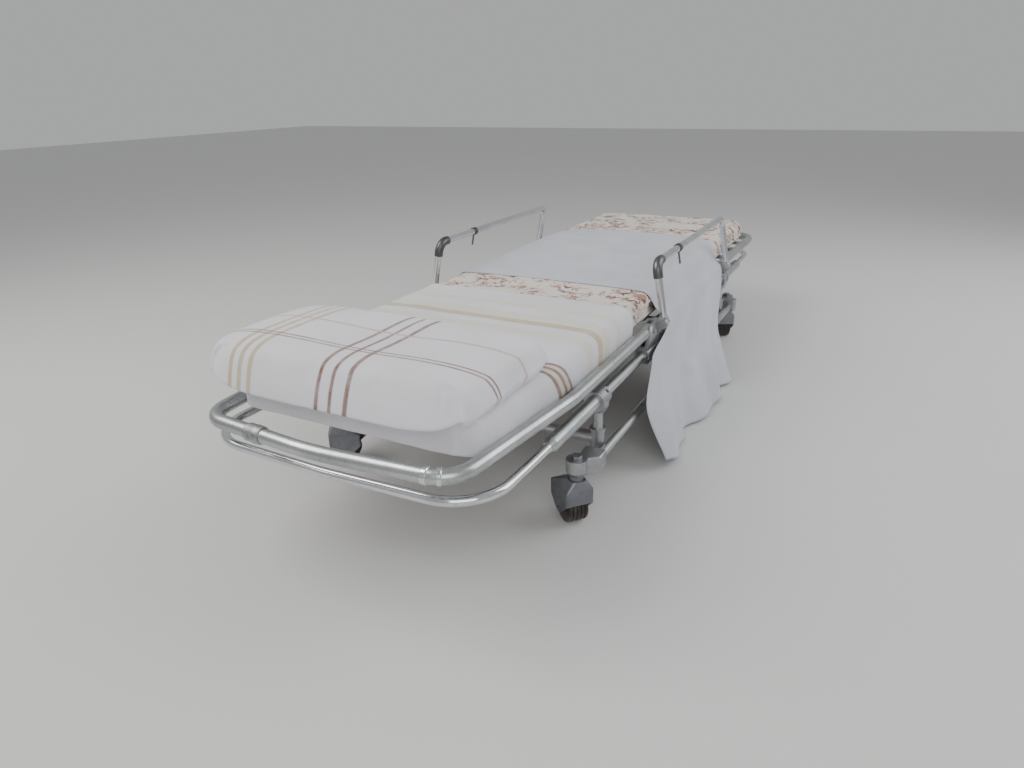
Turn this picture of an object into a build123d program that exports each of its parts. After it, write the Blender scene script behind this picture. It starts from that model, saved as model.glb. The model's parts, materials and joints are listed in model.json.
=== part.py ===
from build123d import *
from math import cos, radians, sin, tan
import os

os.makedirs("parts", exist_ok=True)

# A low ambulance cot on four casters. The origin is on the floor, midway between
# the sides and the ends. +X is the right side, -Y the head end, +Z up.
# Every size is in millimetres, every angle in degrees.

# Overall sizes
COT_LENGTH = 2016.0  # over the end bars of the upper frame
SIDE_SPAN = 576.0  # between the centre lines of the two side tubes
HALF_LENGTH = COT_LENGTH / 2
HALF_SPAN = SIDE_SPAN / 2

# Heights of the centre lines above the floor
UPPER_Z = 267.0
MAIN_Z = 218.0
CROSS_Z = 133.0
BASE_Z = 116.0

# Outside diameters of the tubes
UPPER_D = 25.4
MAIN_D = 24.0
SLEEVE_D = 29.0
LOOP_D = 17.0
POST_D = 20.0
BASE_D = 20.0
GUARD_D = 17.0
ELBOW_D = 22.0

# Outline of the end bars
TAPER_R = 250.0
BOW_R = 600.0
MAIN_SETBACK = 23.0  # of the main frame's end bars behind the upper ones
# bar: inset of the corner from the side tube, bow of the bar in degrees, length of
# tube drawn in to the corner, radius of the corner
END_BARS = {
    "upper_head": (36.0, 5.0, 340.0, 56.0),
    "upper_foot": (8.0, 6.0, 60.0, 54.0),
    "main_head": (3.0, 2.0, 150.0, 95.0),
    "main_foot": (3.0, 2.0, 150.0, 95.0),
}

# Backrest hinge
HINGE_Y = -206.0
HINGE_PIN_D = 10.0
EYE_D = 30.0
EYE_T = 10.0
CHEEK_T = 8.0
CHEEK_D = 34.0
CASTING_FOOT = 6.0  # of the solid block, footward of the hinge eye
CLAMP_PAST = 23.0  # of the clamp, past both ends of the web
EYE_NECK = 34.0  # from the pin to the end of the tube

# Base
POST_Y = HALF_LENGTH - 499.0  # legs, each way from the middle
BASE_X = HALF_SPAN + 22.0  # base rails, outboard of the legs
SOCKET_D = 28.0
SOCKET_BOTTOM = 104.0
SOCKET_TOP = 156.0
TEE_D = 38.0  # outside of the tees and of the pivot castings' clamps
COLLAR_WALL = 5.0
TEE_LENGTH = 46.0
TEE_BULGE_D = 42.0
TEE_BAND = 6.0
TEE_DROP = 26.0  # of the tee's socket below the main tube's centre
ARM_LENGTH = 48.0
ARM_D = 26.0
POST_DEPTH = 10.0  # of the leg below the cross tube's centre
CROSS_DEPTH = 26.0  # of the cross tube in the socket's arm
SLEEVE_END = HALF_LENGTH - 268.0  # from the middle of the cot
SLEEVE_DEPTH = 40.0  # of the tubes in each end of a sleeve
SLEEVE_NOSE = 12.0

# Casters
CASTER_X = HALF_SPAN + 2.0
CASTER_Y = HALF_LENGTH - 390.0
BRACKET_BOTTOM = 104.0
BRACKET_T = 35.0
BRACKET_BACK = CASTER_Y - 58.0  # from the middle of the cot
# outline of the arm round the rail's end: x and y from the caster's axis, and
# diameter, of the circles it wraps
BRACKET_LOBES = ((4.0, -4.0, 14.0), (34.0, -26.0, 8.0), (34.0, -54.0, 8.0), (-2.0, -54.0, 8.0))
BRACKET_CHAMFER = 2.0
RAIL_DEPTH = 32.0  # of the base rail in the bracket
BOSS_D = 41.0
BOSS_FOOT_D = 29.0  # at the narrow end of the boss's underside
BOSS_TAPER = 10.0
NUT_D = 20.0
NUT_T = 7.0
STEM_D = 12.0
COLLAR_D = 27.0
HOOD_LENGTH = 73.0
HOOD_WIDTH = 59.0
HOOD_BOTTOM = 47.0  # of the front wall
CHEEK_BOTTOM = 25.0  # of the side walls, below the axle
HOOD_SHOULDER = 76.0
HOOD_TOP = 96.0
HOOD_TOP_SIDE = 32.0  # of the square where the shoulders end
HOOD_EDGE_R = 5.0
HOOD_WALL = 2.5
HOOD_FRONT = 18.0  # from the swivel axis to the closed front
CHEEK_FRONT = -6.0  # of the cheek's lowest edge, from the swivel axis
CHEEK_BACK = -28.0
CHEEK_HEEL = 50.0
WHEEL_D = 60.0
WHEEL_WIDTH = 41.0
TRAIL = 14.0
AXLE_D = 8.0
AXLE_HEAD = 3.0
TREAD_CHAMFER = 3.0
GROOVE_WIDTH = 3.0
GROOVE_DEPTH = 2.0
GROOVES = 3

# Guard rails
GUARD_X = HALF_SPAN + 26.0  # pin, outboard of the side tube
GUARD_Z = 277.0
GUARD_HEAD_Y = -172.0
GUARD_LENGTH = 625.0
GUARD_RISE = 140.0
GUARD_LEAN = 11.0  # inward, against the stop
GUARD_CORNER_R = 25.0
ELBOW_REACH = 35.0  # of the elbow each way from the corner
GUARD_PIN_D = 8.0
GUARD_EYE_D = 22.0
GUARD_EYE_T = 12.0
EYE_ROOM = 1.5  # round a guard rail's eye
GUARD_NECK = 15.0  # from the pin to the foot of the post's tube
PIN_HEAD = 4.0  # of each pin past the outer faces
EAR_T = 6.0
EAR_D = 20.0
LATCH_Y = 0.0
LATCH_D = 21.0
LATCH_WIDTH = 12.0
PRONG_D = 5.0
PRONG_LENGTH = 30.0

# Deck
SLAT_WIDTH = 46.0
SLAT_T = 2.5
SLAT_TOP = 263.0
# deck: number of slats, centre of the first and of the last
DECKS = {
    "backrest_slats": (6, 170.0 - HALF_LENGTH, HINGE_Y - 84.0),
    "foot_slats": (9, HINGE_Y + 96.0, HALF_LENGTH - 142.0),
}

# Soft parts
MATTRESS_WIDTH = SIDE_SPAN - 48.0
MATTRESS_T = 70.0
# end: reach of the mattress, its width there, and where it begins to narrow
MATTRESS_ENDS = {
    -1: (HALF_LENGTH - 103.0, SIDE_SPAN - 92.0, HALF_LENGTH - 368.0),
    1: (HALF_LENGTH - 83.0, SIDE_SPAN - 52.0, HALF_LENGTH - 148.0),
}
MATTRESS_CORNER_R = 36.0
NOTCH = 35.0  # slope of each end face beside the backrest hinge
NOTCH_GAP = 6.0
SHEET_T = 2.5
PILLOW = (SIDE_SPAN - 10.0, 310.0, 70.0)
PILLOW_Y = 256.0 - HALF_LENGTH
PILLOW_EDGE_R = 30.0
SHEET_FOOT_Y = 560.0
SHEET_HEAD_Y = 128.0 - HALF_LENGTH
SHEET_PLAY = 4.0  # of a sheet's edge from the mattress's edge at the hinge
FLAP_T = 3.0
FLAP_HEM = (HALF_SPAN + 104.0, 6.0)  # x and z of the hem, z clear of the floor
# outline of a flap seen from the side: y and z, the sheet's own top left out
FLAP_OUTLINE = (
    (-128.0, 236.0),
    (-300.0, 190.0),
    (-350.0, 110.0),
    (-336.0, 28.0),
    (-268.0, 6.0),
    (240.0, 6.0),
    (288.0, 120.0),
)
FLAP_TOP = (-120.0, 425.0)

# Fits and clearances
PIN_FIT = 0.05  # radial, round a pin that turns
SIDE_PLAY = 0.3  # between faces that turn on one another
SOFT_GAP = 0.3

HINGE_Z = UPPER_Z
SIDES = {"right": 1, "left": -1}
ENDS = {"head": -1, "foot": 1}
# name, side, end, direction in which the caster points
CASTERS = (
    ("head_right", 1, -1, -40.6),
    ("head_left", -1, -1, 205.0),
    ("foot_right", 1, 1, -62.0),
    ("foot_left", -1, 1, 232.0),
)


def save(shape, name):
    """Writes one sub-part to its own file."""
    export_step(shape, f"parts/{name}.step")


def rod(path, diameter, bore=0.0):
    """A round bar or tube along a path of lines and arcs."""
    start = Plane(origin=path @ 0, z_dir=path % 0)
    section = start * Circle(diameter / 2)
    solid = sweep(section, path=path)
    if bore:
        solid -= sweep(start * Circle(bore / 2), path=path)
    return solid


def round_along(axis, centre, diameter, length):
    """A cylinder centred on a point, along X, Y or Z."""
    turns = {"X": (0, 90, 0), "Y": (90, 0, 0), "Z": (0, 0, 0)}
    return Pos(*centre) * Rot(*turns[axis]) * Cylinder(diameter / 2, length)


def lobed_plate(lobes, plane, thickness):
    """A plate whose outline wraps circles (x, y, diameter) on a plane, centred on it."""
    rings = Sketch() + [Pos(x, y) * Circle(d / 2) for x, y, d in lobes]
    return extrude(plane * make_hull(rings.edges()), thickness / 2, both=True)


def end_bend(bar, end, reach, start_y):
    """Path of a U: up one side, round the bowed end bar and back.

    bar names a row of END_BARS; end is -1 at the head and 1 at the foot; reach is
    the bar's centre line in the middle, start_y where both side tubes begin.
    """
    inset, bow, taper, corner_r = END_BARS[bar]
    corner_x = HALF_SPAN - inset
    slope = tan(radians(bow))
    corner_y = reach + BOW_R * (1 / cos(radians(bow)) - 1) - corner_x * slope
    half = [(HALF_SPAN, start_y), (HALF_SPAN, end * (corner_y - taper)), (corner_x, end * corner_y)]
    tip = [(0, end * (corner_y + corner_x * slope))]
    points = half + tip + [(-x, y) for x, y in reversed(half)]
    return FilletPolyline(*points, radius=[TAPER_R, corner_r, BOW_R, corner_r, TAPER_R])


def sleeve_start():
    """Where a sleeve begins, at the outer face of the tee."""
    return POST_Y + TEE_LENGTH / 2


def main_bend(name, end):
    """The thin U at one end of the main frame, let into two sleeves."""
    reach = HALF_LENGTH - UPPER_D / 2 - MAIN_SETBACK
    path = end_bend(f"main_{name}", end, reach, end * (SLEEVE_END - SLEEVE_DEPTH))
    return rod(Pos(0, 0, MAIN_Z) * path, LOOP_D)


def main_sleeve(side, end):
    """A stout sleeve from the tee to the end U, with a tapered nose."""
    length = SLEEVE_END - SLEEVE_NOSE - sleeve_start()
    shank = Cylinder(SLEEVE_D / 2, length, align=(Align.CENTER, Align.CENTER, Align.MIN))
    nose = Pos(0, 0, length + SLEEVE_NOSE / 2) * Cone(SLEEVE_D / 2, LOOP_D / 2 + 1, SLEEVE_NOSE)
    place = Pos(side * HALF_SPAN, end * sleeve_start(), MAIN_Z) * Rot(-90 * end, 0, 0)
    sleeve = place * (shank + nose)
    for y, diameter in ((sleeve_start(), MAIN_D), (SLEEVE_END, LOOP_D)):
        mouth = (side * HALF_SPAN, end * y, MAIN_Z)
        sleeve -= round_along("Y", mouth, diameter, 2 * SLEEVE_DEPTH)
    return sleeve


def main_tube(side):
    """A straight side tube of the main frame, let into both sleeves."""
    return round_along("Y", (side * HALF_SPAN, 0, MAIN_Z), MAIN_D, 2 * (sleeve_start() + SLEEVE_DEPTH))


def upper_frame(name, start_y):
    """One U of the upper frame, from its side-tube ends round the end bar."""
    reach = HALF_LENGTH - UPPER_D / 2
    path = end_bend(f"upper_{name}", ENDS[name], reach, start_y)
    return rod(Pos(0, 0, UPPER_Z) * path, UPPER_D)


def foot_frame_start():
    """Where the foot frame's side tubes end inside the pivot castings."""
    return HINGE_Y + EYE_D / 2 + CASTING_FOOT + 2


def foot_tube_room(side):
    """The bore for the end of a side tube of the foot frame."""
    length = 2 * TEE_LENGTH
    centre = (side * HALF_SPAN, foot_frame_start() + length / 2, UPPER_Z)
    return round_along("Y", centre, UPPER_D, length)


def backrest_frame():
    """The head U, with a flat hinge eye on each side tube."""
    start = HINGE_Y - EYE_NECK
    frame = upper_frame("head", start)
    for side in SIDES.values():
        plane = Plane.YZ.offset(side * HALF_SPAN)
        lobes = ((HINGE_Y, HINGE_Z, EYE_D), (start - EYE_T, HINGE_Z, UPPER_D - 4))
        frame += lobed_plate(lobes, plane, EYE_T)
        centre = (side * HALF_SPAN, HINGE_Y, HINGE_Z)
        frame -= round_along("X", centre, HINGE_PIN_D + 2 * PIN_FIT, 2 * EYE_T)
    return frame


def guard_ears(side, y):
    """Two ears and the pin that carry one post of a guard rail."""
    pin = (side * GUARD_X, y, GUARD_Z)
    gap = GUARD_EYE_T + 2 * SIDE_PLAY
    ears = round_along("Y", pin, GUARD_PIN_D, gap + 2 * EAR_T + PIN_HEAD)
    for way in (-1, 1):
        plane = Plane.XZ.offset(-(y + way * (gap + EAR_T) / 2))
        lobes = (
            (pin[0], GUARD_Z, EAR_D),
            (side * HALF_SPAN, UPPER_Z, UPPER_D + 2 * COLLAR_WALL - 2),
        )
        ears += lobed_plate(lobes, plane, EAR_T)
    return ears


def eye_slot(side, y):
    """The room that a guard rail's eye needs between its ears."""
    pin = (side * GUARD_X, y, GUARD_Z)
    gap = GUARD_EYE_T + 2 * SIDE_PLAY
    slot = round_along("Y", pin, GUARD_EYE_D + 2 * EYE_ROOM, gap)
    return slot - round_along("Y", pin, GUARD_PIN_D, 2 * gap)


def collar(side, y, length):
    """A collar round the upper side tube."""
    return round_along("Y", (side * HALF_SPAN, y, UPPER_Z), UPPER_D + 2 * COLLAR_WALL, length)


def pivot_casting(side):
    """Clamped to the main tube, it carries the backrest's pin, the end of the foot
    frame and the head post of the guard rail."""
    x = side * HALF_SPAN
    gap = EYE_T + 2 * SIDE_PLAY
    foot_end = HINGE_Y + EYE_D / 2 + CASTING_FOOT
    collar_end = GUARD_HEAD_Y + GUARD_EYE_T / 2 + SIDE_PLAY + EAR_T
    plane = Plane.YZ.offset(x)
    web = lobed_plate(
        (
            (HINGE_Y - EYE_NECK, MAIN_Z, TEE_D),
            (foot_end, MAIN_Z, TEE_D),
            (HINGE_Y, HINGE_Z, CHEEK_D),
            (foot_end + 10, HINGE_Z, UPPER_D + 2 * COLLAR_WALL),
        ),
        plane,
        gap + 2 * CHEEK_T,
    )
    slot_bottom = MAIN_Z + TEE_D / 2 + 3
    slot_length = EYE_NECK + EYE_D + 40
    slot = Pos(x, foot_end - slot_length / 2, slot_bottom + 50) * Box(gap, slot_length, 100)
    casting = web - slot
    clamp_length = foot_end - HINGE_Y + EYE_NECK + CLAMP_PAST
    clamp_y = (HINGE_Y - EYE_NECK + foot_end) / 2
    casting += round_along("Y", (x, clamp_y, MAIN_Z), TEE_D, clamp_length)
    casting += collar(side, (foot_end + collar_end) / 2, collar_end - foot_end)
    casting += guard_ears(side, GUARD_HEAD_Y)
    casting -= eye_slot(side, GUARD_HEAD_Y)
    head = gap + 2 * CHEEK_T + 2 * PIN_HEAD
    casting += round_along("X", (x, HINGE_Y, HINGE_Z), HINGE_PIN_D, head)
    casting -= round_along("Y", (x, clamp_y, MAIN_Z), MAIN_D, 2 * clamp_length)
    return casting - foot_tube_room(side)


def rail_bracket(side):
    """A collar on the foot frame with the ears of the guard rail's second post."""
    y = GUARD_HEAD_Y + GUARD_LENGTH
    bracket = collar(side, y, GUARD_EYE_T + 2 * EAR_T + 14)
    bracket += guard_ears(side, y)
    bracket -= eye_slot(side, y)
    return bracket - round_along("Y", (side * HALF_SPAN, y, UPPER_Z), UPPER_D, 100)


def frame_tee(side, end):
    """A banded collar on the main tube that swells into a socket for the leg."""
    x = side * HALF_SPAN
    y = end * POST_Y
    bottom = MAIN_Z - TEE_DROP
    tee = round_along("Y", (x, y, MAIN_Z), TEE_D, TEE_LENGTH)
    for index, diameter in enumerate((TEE_D + 4, TEE_D + 2)):
        band_y = y + end * (TEE_LENGTH - TEE_BAND - index * 3 * TEE_BAND) / 2
        tee += round_along("Y", (x, band_y, MAIN_Z), diameter, TEE_BAND)
    swell = (MAIN_Z - bottom) / 2
    tee += Pos(x, y, bottom + swell / 2) * Cone(SOCKET_D / 2, TEE_BULGE_D / 2, swell)
    tee += Pos(x, y, MAIN_Z - swell / 2) * Cylinder(TEE_BULGE_D / 2, swell)
    tee -= round_along("Y", (x, y, MAIN_Z), MAIN_D, 2 * TEE_LENGTH)
    return tee


def leg_post(side, end):
    """The short tube between the post socket and the tee."""
    bottom = CROSS_Z - POST_DEPTH
    top = MAIN_Z - TEE_DROP
    middle = (side * HALF_SPAN, end * POST_Y, (bottom + top) / 2)
    return round_along("Z", middle, POST_D, top - bottom)


def post_socket(side, end):
    """Holds the leg and the cross tube, and sits saddled against the base rail."""
    x = side * HALF_SPAN
    y = end * POST_Y
    height = SOCKET_TOP - SOCKET_BOTTOM
    socket = Pos(x, y, SOCKET_BOTTOM + height / 2) * Cylinder(SOCKET_D / 2, height)
    socket += Pos(x, y, SOCKET_TOP - TEE_BAND / 2) * Cylinder(SOCKET_D / 2 + 2, TEE_BAND)
    arm_x = x - side * ARM_LENGTH / 2
    socket += round_along("X", (arm_x, y, CROSS_Z), ARM_D, ARM_LENGTH)
    socket -= Pos(x, y, CROSS_Z - POST_DEPTH + height / 2) * Cylinder(POST_D / 2, height)
    socket -= round_along("Y", (side * BASE_X, y, BASE_Z), BASE_D, 2 * ARM_LENGTH)
    socket -= round_along("X", (0, y, CROSS_Z), BASE_D, 2 * cross_half())
    return socket


def cross_half():
    """Half the length of a cross tube, which ends inside the socket's arm."""
    return HALF_SPAN - ARM_LENGTH + CROSS_DEPTH


def base_cross(end):
    """The tube that ties the two legs of one end."""
    return round_along("X", (0, end * POST_Y, CROSS_Z), BASE_D, 2 * cross_half())


def base_rail(side):
    """The tube outboard of the legs that ties the two caster brackets together."""
    length = 2 * (BRACKET_BACK + RAIL_DEPTH)
    return round_along("Y", (side * BASE_X, 0, BASE_Z), BASE_D, length)


def caster_bracket(side, end):
    """The arm on the end of the base rail, with a slanted front face beside the
    boss that holds the caster's stem."""
    z = BRACKET_BOTTOM + BRACKET_T / 2
    lobes = [(side * (CASTER_X + x), end * (CASTER_Y + y), d) for x, y, d in BRACKET_LOBES]
    arm = lobed_plate(lobes, Plane.XY.offset(z), BRACKET_T)
    arm = chamfer(arm.edges().filter_by(Axis.Z, reverse=True), BRACKET_CHAMFER)
    stem = Pos(side * CASTER_X, end * CASTER_Y, BRACKET_BOTTOM)
    height = BRACKET_T - BOSS_TAPER
    arm += stem * Pos(0, 0, BOSS_TAPER / 2) * Cone(BOSS_FOOT_D / 2, BOSS_D / 2, BOSS_TAPER)
    arm += stem * Pos(0, 0, BOSS_TAPER + height / 2) * Cylinder(BOSS_D / 2, height)
    mouth = (side * BASE_X, end * BRACKET_BACK, BASE_Z)
    arm -= round_along("Y", mouth, BASE_D, 2 * RAIL_DEPTH)
    return arm - stem * Cylinder(STEM_D / 2 + PIN_FIT, 4 * BRACKET_T)


def caster_place(side, end, heading):
    """From the caster's own frame, where it points along +X, to the cot's."""
    return Pos(side * CASTER_X, end * CASTER_Y, 0) * Rot(0, 0, heading)


def shoulders(wall):
    """The hood's sloped shoulders, drawn in from its outline to the square top, or
    the hollow inside them when a wall is given."""
    inset = 2 * wall
    middle_x = HOOD_FRONT - HOOD_LENGTH / 2
    low = RectangleRounded(HOOD_LENGTH - inset, HOOD_WIDTH - inset, HOOD_EDGE_R - wall / 2)
    high = RectangleRounded(HOOD_TOP_SIDE - inset, HOOD_TOP_SIDE - inset, 2 * HOOD_EDGE_R - wall)
    sections = (
        Pos(middle_x, 0, HOOD_SHOULDER) * low,
        Pos(0, 0, HOOD_TOP - wall) * high,
    )
    return loft(sections, ruled=True)


def caster_hood():
    """Hood with sloped shoulders and an open back, swivel collar, stem, nut and axle."""
    back = HOOD_FRONT - HOOD_LENGTH
    cheek = Polyline(
        (HOOD_FRONT, HOOD_BOTTOM),
        (HOOD_FRONT, HOOD_SHOULDER),
        (back, HOOD_SHOULDER),
        (back, CHEEK_HEEL),
        (CHEEK_BACK, CHEEK_BOTTOM),
        (CHEEK_FRONT, CHEEK_BOTTOM),
        close=True,
    )
    middle_x = HOOD_FRONT - HOOD_LENGTH / 2
    outline = Pos(middle_x, 0) * RectangleRounded(HOOD_LENGTH, HOOD_WIDTH, HOOD_EDGE_R)
    hood = extrude(Plane.XZ * make_face(cheek), HOOD_WIDTH / 2, both=True)
    hood &= extrude(outline, HOOD_SHOULDER)
    hood += shoulders(0)
    room = (HOOD_LENGTH, HOOD_WIDTH - 2 * HOOD_WALL, HOOD_SHOULDER)
    hood -= Pos(middle_x - HOOD_WALL, 0, HOOD_SHOULDER / 2) * Box(*room)
    hood -= shoulders(HOOD_WALL)
    collar_top = BRACKET_BOTTOM - SIDE_PLAY
    nut_bottom = BRACKET_BOTTOM + BRACKET_T + SIDE_PLAY
    neck = HOOD_TOP - HOOD_WALL
    hood += Pos(0, 0, (neck + collar_top) / 2) * Cylinder(COLLAR_D / 2, collar_top - neck)
    hood += Pos(0, 0, (neck + nut_bottom) / 2) * Cylinder(STEM_D / 2, nut_bottom - neck)
    hood += Pos(0, 0, nut_bottom + NUT_T / 2) * extrude(RegularPolygon(NUT_D / 2, 6), NUT_T / 2, both=True)
    axle_z = WHEEL_D / 2
    hood += round_along("Y", (-TRAIL, 0, axle_z), AXLE_D, HOOD_WIDTH + 2 * AXLE_HEAD)
    spacer = (HOOD_WIDTH - WHEEL_WIDTH) / 2 - SIDE_PLAY
    for way in (-1, 1):
        y = way * (WHEEL_WIDTH / 2 + SIDE_PLAY + spacer / 2)
        hood += round_along("Y", (-TRAIL, y, axle_z), 2 * AXLE_D, spacer)
    return hood


def caster_wheel():
    """A broad drum-shaped wheel with grooves round its tread."""
    half = WHEEL_WIDTH / 2
    radius = WHEEL_D / 2
    profile = Pos(0, radius / 2) * Rectangle(WHEEL_WIDTH, radius)
    profile = chamfer(profile.vertices().sort_by(Axis.Y)[-2:], TREAD_CHAMFER)
    pitch = WHEEL_WIDTH / (GROOVES + 1)
    for index in range(GROOVES):
        x = -half + pitch * (index + 1)
        profile -= Pos(x, radius) * Rectangle(GROOVE_WIDTH, 2 * GROOVE_DEPTH)
    profile -= Rectangle(2 * WHEEL_WIDTH, AXLE_D + 2 * PIN_FIT)
    drum = revolve(Plane.YX * profile, Axis.Y)
    return Pos(-TRAIL, 0, radius) * drum


def guard_path():
    """Centre line of a guard rail in its own plane: up, along the cot, down."""
    points = (
        (0, 0, GUARD_NECK),
        (0, 0, GUARD_RISE),
        (0, GUARD_LENGTH, GUARD_RISE),
        (0, GUARD_LENGTH, GUARD_NECK),
    )
    return FilletPolyline(*points, radius=GUARD_CORNER_R)


def guard_place(side):
    """From the guard rail's own frame, upright on its pin, to the cot's."""
    return Pos(side * GUARD_X, GUARD_HEAD_Y, GUARD_Z) * Rot(0, -side * GUARD_LEAN, 0)


def guard_rail():
    """A U of tube with a flat eye at the foot of each post."""
    rail = rod(guard_path(), GUARD_D)
    for y in (0, GUARD_LENGTH):
        plane = Plane.XZ.offset(-y)
        lobes = ((0, 0, GUARD_EYE_D), (0, GUARD_NECK + 2, GUARD_D - 2))
        rail += lobed_plate(lobes, plane, GUARD_EYE_T)
        rail -= round_along("Y", (0, y, 0), GUARD_PIN_D + 2 * PIN_FIT, 2 * GUARD_EYE_T)
    return rail


def rail_elbow():
    """The dark fitting round the bend at the head end of the guard rail."""
    points = ((0, 0, GUARD_RISE - ELBOW_REACH), (0, 0, GUARD_RISE), (0, ELBOW_REACH, GUARD_RISE))
    return rod(FilletPolyline(*points, radius=GUARD_CORNER_R), ELBOW_D, GUARD_D)


def rail_latch():
    """A collar on the bar with a short prong below it."""
    y = LATCH_Y - GUARD_HEAD_Y
    ring = round_along("Y", (0, y, GUARD_RISE), LATCH_D, LATCH_WIDTH)
    prong = Pos(0, y, GUARD_RISE - (GUARD_D + PRONG_LENGTH) / 2) * Cylinder(PRONG_D / 2, PRONG_LENGTH)
    return ring + prong - round_along("Y", (0, y, GUARD_RISE), GUARD_D, 2 * LATCH_WIDTH)


def deck(frame, count, first, last):
    """Evenly spaced cross strips, each cut to the round of the side tubes. What
    lies between the tubes is kept, the ends outside them are not."""
    step = (last - first) / (count - 1)
    slats = []
    for index in range(count):
        middle = Pos(0, first + step * index, SLAT_TOP - SLAT_T / 2)
        strip = middle * Box(SIDE_SPAN, SLAT_WIDTH, SLAT_T) - frame
        slats.append(strip.solids().sort_by(SortBy.VOLUME)[-1])
    return Compound(slats)


def mattress_bottom():
    """The mattress rests on the slats."""
    return SLAT_TOP + SOFT_GAP


def sheet_bottom():
    """The sheets rest on the mattress."""
    return mattress_bottom() + MATTRESS_T + SOFT_GAP


def notch_y(way, z):
    """Where a mattress end face beside the hinge lies at a height."""
    return HINGE_Y + way * (NOTCH_GAP + (z - HINGE_Z) * tan(radians(NOTCH)))


def mattress(way):
    """Head part (way -1) or foot part (way 1), with its sloped end at the hinge and
    its outer end narrowed to lie between the side tubes."""
    bottom = mattress_bottom()
    top = bottom + MATTRESS_T
    reach, end_width, narrow_y = MATTRESS_ENDS[way]
    outline = Polyline(
        (way * reach, bottom),
        (notch_y(way, bottom), bottom),
        (notch_y(way, top), top),
        (way * reach, top),
        close=True,
    )
    block = extrude(Plane.YZ * make_face(outline), MATTRESS_WIDTH / 2, both=True)
    inner = (MATTRESS_WIDTH / 2, 2 * HINGE_Y if way > 0 else 0)
    side_edge = [inner, (MATTRESS_WIDTH / 2, way * narrow_y), (end_width / 2, way * reach)]
    plan = make_face(Polyline(*side_edge, *[(-x, y) for x, y in reversed(side_edge)], close=True))
    corners = plan.vertices().group_by(Axis.Y)[0 if way < 0 else -1]
    return block & extrude(fillet(corners, MATTRESS_CORNER_R), top)


def cover(width, first, last):
    """A flat sheet on the mattress between two places along the cot."""
    middle = Pos(0, (first + last) / 2, sheet_bottom() + SHEET_T / 2)
    return middle * Box(width, last - first, SHEET_T)


def pillow():
    """A soft block with rounded edges."""
    place = Pos(0, PILLOW_Y, sheet_bottom() + SHEET_T + SOFT_GAP + PILLOW[2] / 2)
    block = place * Box(*PILLOW)
    return fillet(block.edges(), PILLOW_EDGE_R)


def sheet_flap(side):
    """The hanging side of the white sheet, slanting outward to the floor."""
    top_z = sheet_bottom() + SHEET_T
    top = (MATTRESS_WIDTH / 2 + SOFT_GAP, top_z)
    waist = (HALF_SPAN + UPPER_D / 2 + 5, UPPER_Z + 4)
    points = [top, waist, FLAP_HEM]
    outer = [(x + FLAP_T, z) for x, z in reversed(points)]
    profile = make_face(Polyline(*[(side * x, z) for x, z in points + outer], close=True))
    flap = extrude(Plane.XZ * profile, HALF_LENGTH, both=True)
    corners = ((FLAP_TOP[0], top_z), *FLAP_OUTLINE, (FLAP_TOP[1], top_z))
    return flap & extrude(Plane.YZ * make_face(Polyline(*corners, close=True)), SIDE_SPAN, both=True)


def build():
    """Writes every sub-part."""
    foot_frame = upper_frame("foot", foot_frame_start())
    head_frame = backrest_frame()
    save(foot_frame, "foot_frame")
    save(head_frame, "backrest_frame")
    save(deck(head_frame, *DECKS["backrest_slats"]), "backrest_slats")
    save(deck(foot_frame, *DECKS["foot_slats"]), "foot_slats")
    for name, side in SIDES.items():
        save(main_tube(side), f"main_tube_{name}")
        save(pivot_casting(side), f"pivot_casting_{name}")
        save(base_rail(side), f"base_rail_{name}")
        save(rail_bracket(side), f"rail_bracket_{name}")
        place = guard_place(side)
        save(place * guard_rail(), f"guard_rail_{name}")
        save(place * rail_elbow(), f"rail_elbow_{name}")
        save(place * rail_latch(), f"rail_latch_{name}")
        save(sheet_flap(side), f"sheet_flap_{name}")
    for name, end in ENDS.items():
        save(main_bend(name, end), f"main_bend_{name}")
        save(base_cross(end), f"base_cross_{name}")
    for name, side, end, heading in CASTERS:
        save(main_sleeve(side, end), f"main_sleeve_{name}")
        save(frame_tee(side, end), f"frame_tee_{name}")
        save(leg_post(side, end), f"leg_post_{name}")
        save(post_socket(side, end), f"post_socket_{name}")
        save(caster_bracket(side, end), f"caster_bracket_{name}")
        place = caster_place(side, end, heading)
        save(place * caster_hood(), f"caster_hood_{name}")
        save(place * caster_wheel(), f"caster_wheel_{name}")
    save(mattress(-1), "mattress_head")
    save(mattress(1), "mattress_foot")
    top = mattress_bottom() + MATTRESS_T
    head_end_width = MATTRESS_ENDS[-1][1]
    save(cover(head_end_width, SHEET_HEAD_Y, notch_y(-1, top) - SHEET_PLAY), "striped_sheet")
    save(cover(MATTRESS_WIDTH, notch_y(1, top) + SHEET_PLAY, SHEET_FOOT_Y), "white_sheet")
    save(pillow(), "pillow")


build()
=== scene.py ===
"""Looks of a low wheeled ambulance cot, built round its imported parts.

The origin is on the floor, midway between the sides and the ends. +X is the cot's
right side, -Y its head end and +Z is up. Every length is in metres.
"""

import json
import logging
import math
from dataclasses import dataclass
from enum import Enum
from typing import Callable, Sequence

import bmesh
import bpy
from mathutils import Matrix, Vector, noise

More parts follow.
